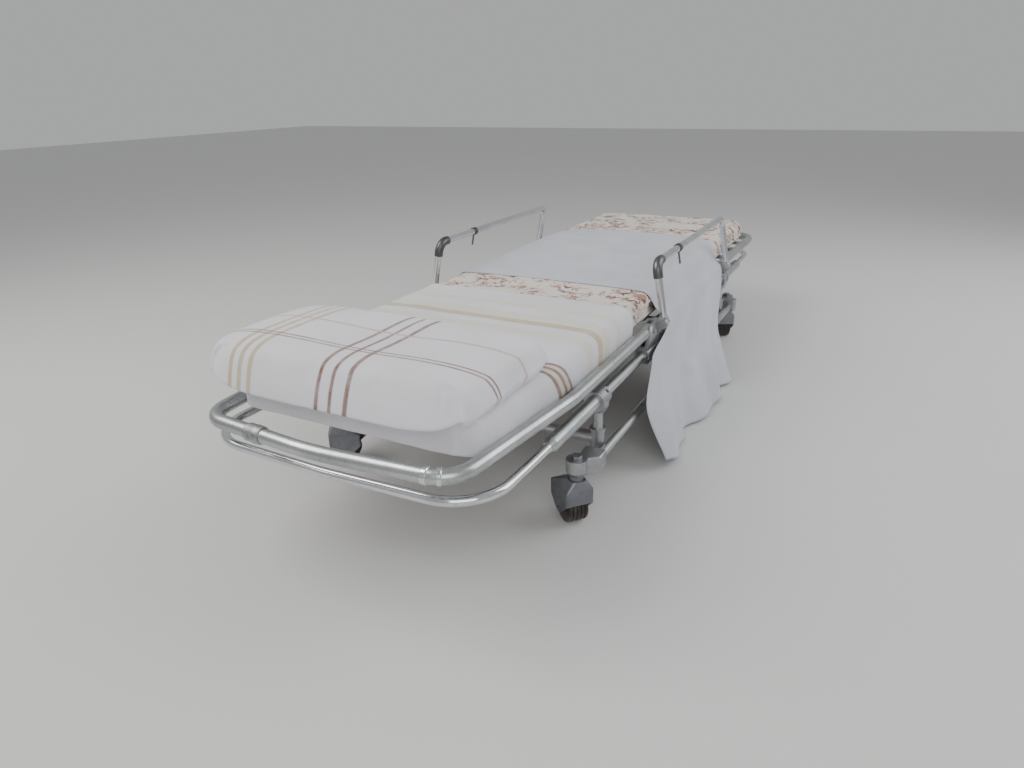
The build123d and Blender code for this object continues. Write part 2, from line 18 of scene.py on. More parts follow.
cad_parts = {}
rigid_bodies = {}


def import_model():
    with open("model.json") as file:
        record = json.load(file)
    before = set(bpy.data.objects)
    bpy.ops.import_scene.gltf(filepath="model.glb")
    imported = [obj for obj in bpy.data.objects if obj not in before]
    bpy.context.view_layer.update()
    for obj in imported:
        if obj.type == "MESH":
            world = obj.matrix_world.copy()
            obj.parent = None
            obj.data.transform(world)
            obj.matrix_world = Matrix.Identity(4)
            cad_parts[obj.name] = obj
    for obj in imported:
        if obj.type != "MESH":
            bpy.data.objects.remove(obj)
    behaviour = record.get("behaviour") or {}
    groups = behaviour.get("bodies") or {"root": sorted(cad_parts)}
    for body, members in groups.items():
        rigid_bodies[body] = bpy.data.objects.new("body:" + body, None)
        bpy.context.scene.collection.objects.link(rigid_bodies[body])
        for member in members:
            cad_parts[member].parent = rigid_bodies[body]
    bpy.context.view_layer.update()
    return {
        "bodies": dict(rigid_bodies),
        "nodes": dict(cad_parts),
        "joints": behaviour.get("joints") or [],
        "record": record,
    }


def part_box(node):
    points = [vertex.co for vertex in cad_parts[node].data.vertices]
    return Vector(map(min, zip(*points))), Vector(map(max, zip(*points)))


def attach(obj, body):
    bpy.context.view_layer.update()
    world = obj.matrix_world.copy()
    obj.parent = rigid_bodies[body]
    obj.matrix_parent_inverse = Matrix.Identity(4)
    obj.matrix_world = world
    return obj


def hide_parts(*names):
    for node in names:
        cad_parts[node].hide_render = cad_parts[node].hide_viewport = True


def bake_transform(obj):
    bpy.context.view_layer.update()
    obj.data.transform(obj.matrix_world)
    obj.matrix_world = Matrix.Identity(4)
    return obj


LOG = logging.getLogger("cot")

Socket = bpy.types.NodeSocket
Material = bpy.types.Material
Piece = bpy.types.Object
Mesh = bmesh.types.BMesh
Pair = tuple[float, float]
Triple = tuple[float, float, float]
Colour = Triple
Band = tuple[float, float, Colour]
Place = Callable[[float, float], Vector]


class Side(Enum):
    """The cot's two long sides, with the sign of X."""

    RIGHT = 1
    LEFT = -1


class Held(Enum):
    """How a sheet of cloth lies."""

    TUCKED = "laid"
    HANGING = "draped"


# Finishes


class Shade:
    """A material's nodes, with short calls for what the finishes use."""

    def __init__(self, name: str, metallic: float, **constants: float) -> None:
        """Starts a material.

        Args:
            name: the material's name.
            metallic: 0 for cloth or rubber, 1 for bare metal.
            constants: other sockets of the shader that stay the same all over.
        """
        self.material = bpy.data.materials.new(name)
        self.material.use_nodes = True
        self.nodes = self.material.node_tree.nodes
        self.links = self.material.node_tree.links
        self.shader = self.nodes["Principled BSDF"]
        self.shader.inputs["Metallic"].default_value = metallic
        for key, value in constants.items():
            self.shader.inputs[key.replace("_", " ")].default_value = value
        self.seat = self.nodes.new("ShaderNodeTexCoord")

    def put(self, target: Socket, value: object) -> None:
        """Links a socket to a value, or sets it when the value is a number or colour.

        Args:
            target: the socket that takes it.
            value: a socket, a number or a colour.
        """
        if isinstance(value, Socket):
            self.links.new(value, target)
        elif isinstance(value, tuple) and len(value) == 3 and target.type == "RGBA":
            target.default_value = (*value, 1.0)
        else:
            target.default_value = value

    def coords(self, scale: Triple = (1.0, 1.0, 1.0), output: str = "Object", turn: float = 0.0) -> Socket:
        """Coordinates for a pattern, stretched and turned about Z.

        Args:
            scale: factor along each axis.
            output: "Object" or "UV".
            turn: angle about Z in degrees.

        Returns:
            the vector socket.
        """
        node = self.nodes.new("ShaderNodeMapping")
        node.inputs["Scale"].default_value = scale
        node.inputs["Rotation"].default_value = (0, 0, math.radians(turn))
        self.links.new(self.seat.outputs[output], node.inputs["Vector"])
        return node.outputs["Vector"]

    def noise(self, vector: Socket, scale: float, detail: float = 4.0, roughness: float = 0.55,
              distortion: float = 0.0) -> Socket:
        """Cloudy noise from 0 to 1.

        Args:
            vector: coordinates of the pattern.
            scale: how often the clouds come per metre.
            detail: number of finer layers.
            roughness: how strong the finer layers are.
            distortion: how much the clouds are twisted.

        Returns:
            the value socket.
        """
        node = self.nodes.new("ShaderNodeTexNoise")
        node.inputs["Scale"].default_value = scale
        node.inputs["Detail"].default_value = detail
        node.inputs["Roughness"].default_value = roughness
        node.inputs["Distortion"].default_value = distortion
        self.links.new(vector, node.inputs["Vector"])
        return node.outputs["Fac"]

    def threads(self, vector: Socket, direction: str, scale: float) -> Socket:
        """Fine parallel threads along one axis, from 0 to 1.

        Args:
            vector: coordinates of the pattern.
            direction: "X" or "Y", across the threads.
            scale: how close the threads lie.

        Returns:
            the value socket.
        """
        node = self.nodes.new("ShaderNodeTexWave")
        node.bands_direction = direction
        node.inputs["Scale"].default_value = scale
        self.links.new(vector, node.inputs["Vector"])
        return node.outputs["Fac"]

    def ramp(self, value: Socket, stops: Sequence[tuple[float, Colour]]) -> Socket:
        """Colours by value.

        Args:
            value: socket from 0 to 1.
            stops: place and colour of each stop, in order.

        Returns:
            the colour socket.
        """
        node = self.nodes.new("ShaderNodeValToRGB")
        elements = node.color_ramp.elements
        while len(elements) < len(stops):
            elements.new(1.0)
        for element, (place, colour) in zip(elements, stops):
            element.position = place
            element.color = (*colour, 1.0)
        self.links.new(value, node.inputs["Fac"])
        return node.outputs["Color"]

    def level(self, value: Socket, low: float, high: float, start: float = 0.0, end: float = 1.0) -> Socket:
        """Spreads the span from low to high over start to end, and holds it there.

        Args:
            value: the socket to spread.
            low: its lower limit.
            high: its upper limit.
            start: what low becomes.
            end: what high becomes.

        Returns:
            the value socket.
        """
        node = self.nodes.new("ShaderNodeMapRange")
        for key, number in (("From Min", low), ("From Max", high), ("To Min", start), ("To Max", end)):
            node.inputs[key].default_value = number
        self.links.new(value, node.inputs["Value"])
        return node.outputs["Result"]

    def maths(self, operation: str, *values: object) -> Socket:
        """One arithmetic step on sockets and numbers.

        Args:
            operation: the step, such as ADD or FRACT.
            values: sockets or numbers, in order.

        Returns:
            the value socket.
        """
        node = self.nodes.new("ShaderNodeMath")
        node.operation = operation
        for socket, value in zip(node.inputs, values):
            self.put(socket, value)
        return node.outputs["Value"]

    def mix(self, factor: object, first: object, second: object, mode: str = "MIX") -> Socket:
        """Two colours mixed by a factor.

        Args:
            factor: 0 for the first colour, 1 for the second.
            first: a socket or colour.
            second: a socket or colour.
            mode: how they are mixed.

        Returns:
            the colour socket.
        """
        node = self.nodes.new("ShaderNodeMix")
        node.data_type = "RGBA"
        node.blend_type = mode
        self.put(node.inputs["Factor"], factor)
        self.put(node.inputs[6], first)
        self.put(node.inputs[7], second)
        return node.outputs[2]

    def axis(self, vector: Socket, name: str) -> Socket:
        """One component of a vector.

        Args:
            vector: the vector socket.
            name: "X", "Y" or "Z".

        Returns:
            the value socket.
        """
        node = self.nodes.new("ShaderNodeSeparateXYZ")
        self.links.new(vector, node.inputs["Vector"])
        return node.outputs[name]

    def bump(self, height: Socket, strength: float, distance: float, under: Socket | None = None) -> Socket:
        """A bump, laid over another one when it is given.

        Args:
            height: the pattern that stands up.
            strength: share of the full effect.
            distance: height in metres.
            under: the bump below, or none.

        Returns:
            the normal socket.
        """
        node = self.nodes.new("ShaderNodeBump")
        node.inputs["Strength"].default_value = strength
        node.inputs["Distance"].default_value = distance
        self.links.new(height, node.inputs["Height"])
        if under is not None:
            self.links.new(under, node.inputs["Normal"])
        return node.outputs["Normal"]

    def wear(self, colour: object, roughness: object, normal: object) -> Material:
        """Puts colour, roughness and bump on the shader.

        Args:
            colour: a socket or colour.
            roughness: a socket or number.
            normal: the bump's socket.

        Returns:
            the finished material.
        """
        self.put(self.shader.inputs["Base Color"], colour)
        self.put(self.shader.inputs["Roughness"], roughness)
        self.put(self.shader.inputs["Normal"], normal)
        return self.material


@dataclass(frozen=True)
class MetalFinish:
    """Bare, plated or painted metal with grain, dull patches and worn spots."""

    name: str
    colour: Colour
    dull: Colour
    roughness: Pair
    metallic: float = 1.0
    grain: Triple = (400.0, 12.0, 400.0)
    grain_depth: float = 0.00004
    pitting: float = 0.0
    spots: Colour = (0.09, 0.07, 0.05)
    spot_share: float = 0.0

    def make(self) -> Material:
        """Builds the material.

        Returns:
            the material.
        """
        shade = Shade(self.name, self.metallic)
        plain = shade.coords()
        cloud = shade.noise(plain, 9.0, 6.0, 0.62)
        fine = shade.noise(shade.coords(self.grain), 1.0, 3.0)
        speck = shade.noise(plain, 130.0, 4.0, 0.7)
        patch = shade.level(cloud, 0.38, 0.66)
        colour = shade.mix(patch, self.colour, self.dull)
        streak = shade.ramp(shade.level(fine, 0.2, 0.8, 0.88, 1.08), ((0.0, (0, 0, 0)), (1.0, (1, 1, 1))))
        colour = shade.mix(1.0, colour, streak, "MULTIPLY")
        if self.spot_share:
            dirt = shade.maths("MULTIPLY", shade.level(speck, 0.62 - self.spot_share, 0.72), patch)
            colour = shade.mix(dirt, colour, self.spots)
        rough = shade.level(shade.maths("ADD", cloud, shade.maths("MULTIPLY", fine, 0.35)), 0.45, 0.95,
                            self.roughness[0], self.roughness[1])
        normal = shade.bump(fine, 0.5, self.grain_depth)
        if self.pitting:
            normal = shade.bump(shade.noise(plain, 420.0, 5.0, 0.75), 0.55, self.pitting, normal)
        return shade.wear(colour, rough, normal)


@dataclass(frozen=True)
class RubberFinish:
    """Old hard rubber with dust in its grooves."""

    name: str = "hard_rubber"
    colour: Colour = (0.028, 0.022, 0.020)
    dust: Colour = (0.17, 0.15, 0.13)

    def make(self) -> Material:
        """Builds the material.

        Returns:
            the material.
        """
        shade = Shade(self.name, 0.0)
        plain = shade.coords()
        cloud = shade.noise(plain, 60.0, 5.0, 0.65)
        low = shade.level(shade.axis(plain, "Z"), 0.0, 0.03, 0.5, 0.0)
        dusty = shade.maths("ADD", shade.level(cloud, 0.5, 0.75, 0.0, 0.45), low)
        colour = shade.mix(dusty, self.colour, self.dust)
        normal = shade.bump(shade.noise(plain, 900.0, 3.0), 0.4, 0.00015)
        return shade.wear(colour, shade.level(cloud, 0.3, 0.7, 0.55, 0.85), normal)


@dataclass(frozen=True)
class CottonFinish:
    """Plain woven cotton, with bands printed or woven in when there are any.

    Bands are given as (start, end, colour) within one repeat, in metres along the
    cloth's own length (bands_v) or width (bands_u).
    """

    name: str
    colour: Colour
    shadow: Colour
    repeat_u: float = 0.0
    repeat_v: float = 0.0
    bands_u: tuple[Band, ...] = ()
    bands_v: tuple[Band, ...] = ()
    coordinates: str = "UV"
    thread: float = 0.0011
    soft_edge: float = 0.0012
    fade: float = 0.35
    crumple: float = 0.0022

    def _bands(self, shade: Shade, along: Socket, repeat: float, bands: Sequence[Band],
               under: object) -> object:
        """Lays one set of bands over a colour.

        Args:
            shade: the material's nodes.
            along: place along the cloth, in metres.
            repeat: length after which the bands come again.
            bands: start, end and colour of each band.
            under: the colour that they lie on.

        Returns:
            the colour socket.
        """
        place = shade.maths("FRACT", shade.maths("DIVIDE", shade.maths("ADD", along, 10 * repeat), repeat))
        soft = self.soft_edge
        uneven = shade.level(shade.noise(shade.coords((1, 1, 1), self.coordinates), 45.0, 5.0, 0.7),
                             0.3, 0.7, 1.0 - self.fade, 1.0)
        for start, end, tint in bands:
            rise = shade.level(place, (start - soft) / repeat, (start + soft) / repeat)
            fall = shade.level(place, (end - soft) / repeat, (end + soft) / repeat, 1.0, 0.0)
            share = shade.maths("MULTIPLY", shade.maths("MULTIPLY", rise, fall), uneven)
            under = shade.mix(share, under, tint)
        return under

    def make(self) -> Material:
        """Builds the material.

        Returns:
            the material.
        """
        shade = Shade(self.name, 0.0, Sheen_Weight=0.25, Sheen_Roughness=0.5)
        flat = shade.coords((1, 1, 1), self.coordinates)
        cloud = shade.noise(flat, 7.0, 5.0, 0.6)
        colour: object = shade.mix(shade.level(cloud, 0.35, 0.7), self.colour, self.shadow)
        if self.bands_u:
            colour = self._bands(shade, shade.axis(flat, "X"), self.repeat_u, self.bands_u, colour)
        if self.bands_v:
            colour = self._bands(shade, shade.axis(flat, "Y"), self.repeat_v, self.bands_v, colour)
        turns = 0.5 / self.thread
        weft = shade.threads(flat, "X", turns)
        warp = shade.threads(flat, "Y", turns)
        weave = shade.maths("MAXIMUM", weft, warp)
        slub = shade.noise(shade.coords((900, 60, 900), self.coordinates), 1.0, 2.0)
        creases = shade.noise(flat, 26.0, 4.0, 0.6, 0.6)
        normal = shade.bump(creases, 0.5, self.crumple)
        normal = shade.bump(slub, 0.25, 0.0002, normal)
        normal = shade.bump(weave, 0.3, 0.0002, normal)
        return shade.wear(colour, shade.level(slub, 0.2, 0.8, 0.78, 0.95), normal)


@dataclass(frozen=True)
class TickingFinish:
    """Off-white mattress ticking with irregular rust-brown sprigs."""

    name: str = "sprigged_ticking"
    ground: Colour = (0.72, 0.67, 0.61)
    sprig: Colour = (0.16, 0.045, 0.03)
    petal: Colour = (0.46, 0.24, 0.18)
    leaf: Colour = (0.27, 0.19, 0.11)
    soiled: Colour = (0.56, 0.50, 0.42)
    twill: float = 430.0

    def make(self) -> Material:
        """Builds the material.

        Returns:
            the material.
        """
        shade = Shade(self.name, 0.0, Sheen_Weight=0.15, Sheen_Roughness=0.5)
        flat = shade.coords()
        soil = shade.level(shade.noise(flat, 5.0, 4.0), 0.4, 0.75, 0.0, 0.4)
        colour: object = shade.mix(soil, self.ground, self.soiled)
        group = shade.level(shade.noise(flat, 17.0, 2.0), 0.44, 0.54)
        for scale, tint, low, twist in (
            (36.0, self.petal, 0.535, 0.6),
            (60.0, self.leaf, 0.575, 0.9),
            (54.0, self.sprig, 0.54, 0.8),
        ):
            spot = shade.noise(flat, scale, 3.0, 0.6, twist)
            share = shade.maths("MULTIPLY", shade.level(spot, low, low + 0.035), group)
            colour = shade.mix(share, colour, tint)
        twill = shade.threads(shade.coords(turn=45.0), "X", self.twill)
        normal = shade.bump(shade.noise(flat, 30.0, 4.0, 0.6), 0.4, 0.002)
        normal = shade.bump(twill, 0.25, 0.0002, normal)
        return shade.wear(colour, 0.88, normal)


@dataclass(frozen=True)
class FloorFinish:
    """A plain pale floor."""

    name: str = "pale_floor"
    colour: Colour = (0.66, 0.66, 0.65)
    dusty: Colour = (0.58, 0.58, 0.57)

    def make(self) -> Material:
        """Builds the material.

        Returns:
            the material.
        """
        shade = Shade(self.name, 0.0)
        cloud = shade.noise(shade.coords(), 3.0, 4.0)
        tone = shade.mix(shade.level(cloud, 0.3, 0.7, 0.0, 0.12), self.colour, self.dusty)
        return shade.wear(tone, 0.72, shade.bump(cloud, 0.05, 0.001))


BEIGE: Colour = (0.50, 0.40, 0.24)
BROWN: Colour = (0.20, 0.085, 0.06)
ROSE: Colour = (0.55, 0.38, 0.33)
STRAW: Colour = (0.66, 0.58, 0.44)
CREAM: Colour = (0.66, 0.64, 0.54)


class Finishes:
    """Every material of the cot, made once."""

    def __init__(self) -> None:
        """Makes the materials."""
        self.tube = MetalFinish("dull_tube", (0.58, 0.60, 0.60), (0.40, 0.42, 0.42), (0.24, 0.42),
                                spot_share=0.03, pitting=0.00003).make()
        self.polished = MetalFinish("polished_tube", (0.80, 0.81, 0.82), (0.62, 0.64, 0.66), (0.07, 0.22),
                                    spot_share=0.02).make()
        self.casting = MetalFinish("cast_alloy", (0.47, 0.48, 0.49), (0.32, 0.33, 0.34), (0.34, 0.55),
                                   grain=(60, 60, 60), pitting=0.00018, spot_share=0.05).make()
        self.dark = MetalFinish("dark_fitting", (0.20, 0.205, 0.21), (0.075, 0.075, 0.078), (0.30, 0.52),
                                grain=(90, 90, 90), pitting=0.0001).make()
        self.hood = MetalFinish("hood_metal", (0.26, 0.27, 0.30), (0.16, 0.165, 0.18), (0.30, 0.50),
                                metallic=0.75, grain=(70, 70, 200), pitting=0.00005, spot_share=0.04).make()
        self.slat = MetalFinish("slat_metal", (0.50, 0.51, 0.51), (0.36, 0.37, 0.37), (0.30, 0.5),
                                grain=(12, 500, 500)).make()
        self.steel = MetalFinish("bolt_steel", (0.42, 0.42, 0.41), (0.22, 0.20, 0.18), (0.25, 0.5),
                                 grain=(200, 200, 200), spots=(0.12, 0.05, 0.02), spot_share=0.08).make()
        self.rubber = RubberFinish().make()
        self.ticking = TickingFinish().make()
        self.plaid = CottonFinish(
            "plaid_cotton", (0.74, 0.74, 0.79), (0.67, 0.66, 0.69), 0.60, 0.50,
            ((0.380, 0.390, BEIGE), (0.403, 0.413, BEIGE), (0.426, 0.436, BEIGE),
             (0.576, 0.584, BROWN), (0.004, 0.011, BROWN), (0.034, 0.043, BROWN)),
            ((0.130, 0.134, BROWN), (0.140, 0.144, BROWN), (0.228, 0.234, ROSE)),
            coordinates="Object").make()
        self.striped = CottonFinish(
            "striped_cotton", (0.72, 0.72, 0.76), (0.64, 0.63, 0.65), 0.23, 0.72, (),
            ((0.262, 0.270, BROWN), (0.270, 0.279, STRAW), (0.279, 0.287, BROWN), (0.287, 0.296, STRAW),
             (0.296, 0.304, BROWN), (0.436, 0.468, CREAM), (0.496, 0.520, BEIGE), (0.520, 0.560, CREAM),
             (0.600, 0.625, CREAM))).make()
        self.white = CottonFinish("white_cotton", (0.55, 0.57, 0.62), (0.47, 0.49, 0.54),
                                  crumple=0.0036).make()


# Mesh tools


def finish_mesh(bm: Mesh, name: str, material: Material, smooth: bool = True) -> Piece:
    """Turns a bmesh into a piece at the origin.

    Args:
        bm: the mesh, which is freed.
        name: the piece's name.
        material: its finish.
        smooth: whether its faces are shaded smooth.

    Returns:
        the piece.
    """
    bmesh.ops.recalc_face_normals(bm, faces=bm.faces)
    mesh = bpy.data.meshes.new(name)
    for face in bm.faces:
        face.smooth = smooth
    bm.to_mesh(mesh)
    bm.free()
    mesh.materials.append(material)
    piece = bpy.data.objects.new(name, mesh)
    bpy.context.scene.collection.objects.link(piece)
    return piece


def sharpen(piece: Piece, degrees: float) -> None:
    """Keeps edges steeper than an angle crisp."""
    piece.data.set_sharp_from_angle(angle=math.radians(degrees))


def settle(piece: Piece, subdivisions: int = 0) -> None:
    """Applies a piece's modifiers, after a last subdivision when asked.

    Args:
        piece: the piece.
        subdivisions: levels of subdivision surface to add first.
    """
    if subdivisions:
        soft = piece.modifiers.new("soft", "SUBSURF")
        soft.levels = soft.render_levels = subdivisions
    graph = bpy.context.evaluated_depsgraph_get()
    mesh = bpy.data.meshes.new_from_object(piece.evaluated_get(graph), preserve_all_data_layers=True,
                                           depsgraph=graph)
    piece.modifiers.clear()
    old = piece.data
    piece.data = mesh
    bpy.data.meshes.remove(old)


def turned(profile: Sequence[Pair], centre: Vector, axis: Vector, steps: int) -> Mesh:
    """A shape turned on a lathe.

    Args:
        profile: distance along the axis and radius of each point, ends on the axis.
        centre: where the axis starts.
        axis: its direction.
        steps: sides of the turned shape.

    Returns:
        the bmesh, in place.
    """
    bm = bmesh.new()
    along = axis.normalized()
    side = along.orthogonal().normalized()
    chain = [bm.verts.new(centre + along * distance + side * radius) for distance, radius in profile]
    edges = [bm.edges.new(pair) for pair in zip(chain, chain[1:])]
    bmesh.ops.spin(bm, geom=chain + edges, cent=centre, axis=along, angle=math.tau, steps=steps,
                   use_merge=True)
    bmesh.ops.remove_doubles(bm, verts=bm.verts, dist=1e-6)
    return bm


def join(parts: Sequence[Mesh]) -> Mesh:
    """Several bmeshes as one.

    Args:
        parts: the bmeshes, which are freed.

    Returns:
        the whole bmesh.
    """
    whole = bmesh.new()
    for part in parts:
        mesh = bpy.data.meshes.new("part")
        part.to_mesh(mesh)
        part.free()
        whole.from_mesh(mesh)
        bpy.data.meshes.remove(mesh)
    return whole


def slice_evenly(bm: Mesh, axis: int, low: float, high: float, count: int) -> None:
    """Cuts a mesh across one axis into slices of the same thickness.

    Args:
        bm: the mesh.
        axis: 0 for X, 1 for Y, 2 for Z.
        low: where the first slice starts.
        high: where the last slice ends.
        count: number of slices.
    """
    for step in range(1, count):
        spot, normal = Vector((0, 0, 0)), Vector((0, 0, 0))
        spot[axis] = low + (high - low) * step / count
        normal[axis] = 1
        bmesh.ops.bisect_plane(bm, geom=bm.verts[:] + bm.edges[:] + bm.faces[:], plane_co=spot,
                               plane_no=normal)


def round_off(bm: Mesh, edges: Sequence[bmesh.types.BMEdge], radius: float) -> None:
    """Rounds some edges of a mesh."""
    bmesh.ops.bevel(bm, geom=edges, offset=radius, offset_type="OFFSET", segments=5, profile=0.5,
                    affect="EDGES", material=-1)


# Cloth


@dataclass(frozen=True)
class Bend:
    """A line in a cross-section, given by points (x, z), smoothed through them."""

    points: tuple[Pair, ...]

    def length(self) -> float:
        """Length of the line from its first to its last point."""
        return sum(math.dist(a, b) for a, b in zip(self.points, self.points[1:]))

    def at(self, distance: float) -> Pair:
        """The point at a distance from the first one.

        Args:
            distance: length along the line.

        Returns:
            its x and z.
        """
        pts = self.points
        index = 0
        while index < len(pts) - 2 and distance > math.dist(pts[index], pts[index + 1]):
            distance -= math.dist(pts[index], pts[index + 1])
            index += 1
        t = max(0.0, min(1.0, distance / math.dist(pts[index], pts[index + 1])))
        before = pts[max(index - 1, 0)]
        a, b = pts[index], pts[index + 1]
        after = pts[min(index + 2, len(pts) - 1)]
        out = []
        for k in (0, 1):
            m0, m1 = (b[k] - before[k]) / 2, (after[k] - a[k]) / 2
            out.append((2 * t**3 - 3 * t**2 + 1) * a[k] + (t**3 - 2 * t**2 + t) * m0
                       + (3 * t**2 - 2 * t**3) * b[k] + (t**3 - t**2) * m1)
        return out[0], out[1]


def folds(u: float, v: float, seed: float) -> float:
    """Uneven soft folds from -1 to 1, for cloth that hangs or lies loosely."""
    drift = noise.noise(Vector((u * 2.1, v * 1.7, seed)))
    return 0.6 * math.sin(u * 31.0 + 3.0 * drift) + 0.4 * math.sin(u * 53.0 + v * 9.0 + 5.0 * drift + seed)


def cloth_grid(name: str, columns: int, rows: int, size: Pair, thickness: float,
               place: Place, material: Material) -> Piece:
    """A sheet as a grid whose own UV map holds its cut in metres.

    Args:
        name: the piece's name.
        columns: squares across the sheet.
        rows: squares along it.
        size: width and length of the cut.
        thickness: how thick the cloth is.
        place: gives the point for a share of the width and of the length.
        material: its finish.

    Returns:
        the piece.
    """
    bm = bmesh.new()
    bmesh.ops.create_grid(bm, x_segments=columns, y_segments=rows, size=0.5)
    layer = bm.loops.layers.uv.new("cut")
    for face in bm.faces:
        for loop in face.loops:
            loop[layer].uv = ((loop.vert.co.x + 0.5) * size[0], (loop.vert.co.y + 0.5) * size[1])
    for vert in bm.verts:
        vert.co = place(vert.co.x + 0.5, vert.co.y + 0.5)
    piece = finish_mesh(bm, name, material)
    solid = piece.modifiers.new("cloth", "SOLIDIFY")
    solid.thickness = thickness
    solid.offset = 1
    settle(piece)
    return piece


# Sub-assemblies


@dataclass
class Tubework:
    """The frame's tubes, castings and deck: finishes, rivets, bolts and rings.

    bar and ring are the radii of the rings on the upper bar; rings holds each one's
    x, y, angle about Z in radians and half width.
    """

    finishes: Finishes
    nodes: dict[str, Piece]
    side_x: float = 0.288
    upper_z: float = 0.267
    main_z: float = 0.218
    tee_y: float = 0.509
    tee_bolt: float = 0.0125
    casting_face: float = 0.019
    casting_bolts_y: Pair = (-0.262, -0.158)
    slat_pitch: float = 0.06
    slat_middle: float = 0.023
    rivet_inset: float = 0.006
    bar: float = 0.0128
    ring: float = 0.0142
    rings: tuple[tuple[float, ...], ...] = ((0.2065, -0.9797, 0.090, 0.0050),
                                            (0.2270, -0.9735, 0.430, 0.0040))
    clamp: Pair = (-0.122, -0.9872)

    def dress(self) -> None:
        """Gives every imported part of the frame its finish."""
        finishes = self.finishes
        look = (
            (finishes.polished, ("main_bend", "guard_rail")),
            (finishes.tube, ("main_tube", "main_sleeve", "foot_frame", "backrest_frame", "base_",
                             "leg_post")),
            (finishes.casting, ("pivot_casting", "rail_bracket", "frame_tee", "post_socket",
                                "caster_bracket")),
            (finishes.hood, ("caster_hood",)),
            (finishes.dark, ("rail_elbow", "rail_latch")),
            (finishes.slat, ("foot_slats", "backrest_slats")),
        )
        for name, node in self.nodes.items():
            for material, starts in look:
                if name.startswith(starts):
                    node.data.materials.clear()
                    node.data.materials.append(material)
            for polygon in node.data.polygons:
                polygon.use_smooth = True
            sharpen(node, 30)
        LOG.info("tubework dressed: %d nodes", len(self.nodes))

    @staticmethod
    def bolt(centre: Vector, axis: Vector, radius: float, height: float) -> Mesh:
        """A domed bolt or rivet head standing on a surface."""
        profile = ((-0.002, 0.0), (-0.002, radius), (height * 0.35, radius),
                   (height * 0.8, radius * 0.7), (height, radius * 0.3), (height, 0.0))
        return turned(profile, centre, axis, 14)

    def rivets(self) -> None:
        """Rivets at both ends of each slat, beside the side tubes."""
        for node, body in (("foot_slats", "frame"), ("backrest_slats", "backrest")):
            strips: list[list[Vector]] = []
            for point in sorted((v.co for v in self.nodes[node].data.vertices), key=lambda co: co.y):
                if not strips or point.y - strips[-1][0].y > self.slat_pitch:
                    strips.append([])
                strips[-1].append(point)
            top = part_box(node)[1].z
            heads = []
            for strip in strips:
                x = min(max(p.x for p in strip if p.y < strip[0].y + 0.01),
                        max(p.x for p in strip if p.y > strip[0].y + 0.03)) - self.rivet_inset
                for side in Side:
                    spot = Vector((side.value * x, strip[0].y + self.slat_middle, top))
                    heads.append(self.bolt(spot, Vector((0, 0, 1)), 0.0028, 0.0018))
            piece = finish_mesh(join(heads), f"{node}_rivets", self.finishes.steel)
            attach(piece, body)
        LOG.info("slat rivets made")

    def bolts(self) -> None:
        """Bolts in the tees and the pivot castings."""
        heads = []
        for side in Side:
            for end in (-1, 1):
                x = side.value * (self.side_x + self.tee_bolt)
                spot = Vector((x, end * (self.tee_y - 0.012), self.main_z + self.tee_bolt))
                heads.append(self.bolt(spot, Vector((side.value, 0, 1)), 0.004, 0.004))
            for y in self.casting_bolts_y:
                spot = Vector((side.value * (self.side_x + self.casting_face), y, self.main_z))
                heads.append(self.bolt(spot, Vector((side.value, 0, 0)), 0.005, 0.004))
        piece = finish_mesh(join(heads), "frame_bolts", self.finishes.dark)
        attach(piece, "frame")
        LOG.info("frame bolts made")

    def _on_bar(self, profile: Sequence[Pair], x: float, y: float, turn: float) -> Mesh:
        """A turned shape round the upper bar, at a place and an angle about Z."""
        axis = Vector((math.cos(turn), math.sin(turn), 0))
        return turned(profile, Vector((x, y, self.upper_z)), axis, 40)

    def bands(self) -> None:
        """Rings and a rough clamp on the upper bar at the head end."""
        parts = []
        for x, y, turn, width in self.rings:
            profile = ((-width, 0.0), (-width, self.bar), (-width * 0.7, self.ring),
                       (width * 0.7, self.ring), (width, self.bar), (width, 0.0))
            parts.append(self._on_bar(profile, x, y, turn))
        piece = finish_mesh(join(parts), "head_bar_rings", self.finishes.polished)
        sharpen(piece, 40)
        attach(piece, "backrest")
        x, y = self.clamp
        profile = ((-0.018, 0.0), (-0.018, 0.0140), (-0.015, 0.0156), (-0.004, 0.0152), (0.003, 0.0162),
                   (0.014, 0.0158), (0.018, 0.0142), (0.018, 0.0))
        clamp = self._on_bar(profile, x, y, math.radians(-5))
        spot = Vector((x, y, self.upper_z)) + Vector((0.006, -0.0145, 0.004))
        lug = turned(((-0.004, 0.0), (-0.004, 0.006), (0.006, 0.0055), (0.009, 0.004), (0.009, 0.0)),
                     spot, Vector((0.1, -1, 0.3)), 6)
        piece = finish_mesh(join([clamp, lug]), "head_bar_clamp", self.finishes.casting)
        sharpen(piece, 30)
        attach(piece, "backrest")
        LOG.info("rings and clamp made")


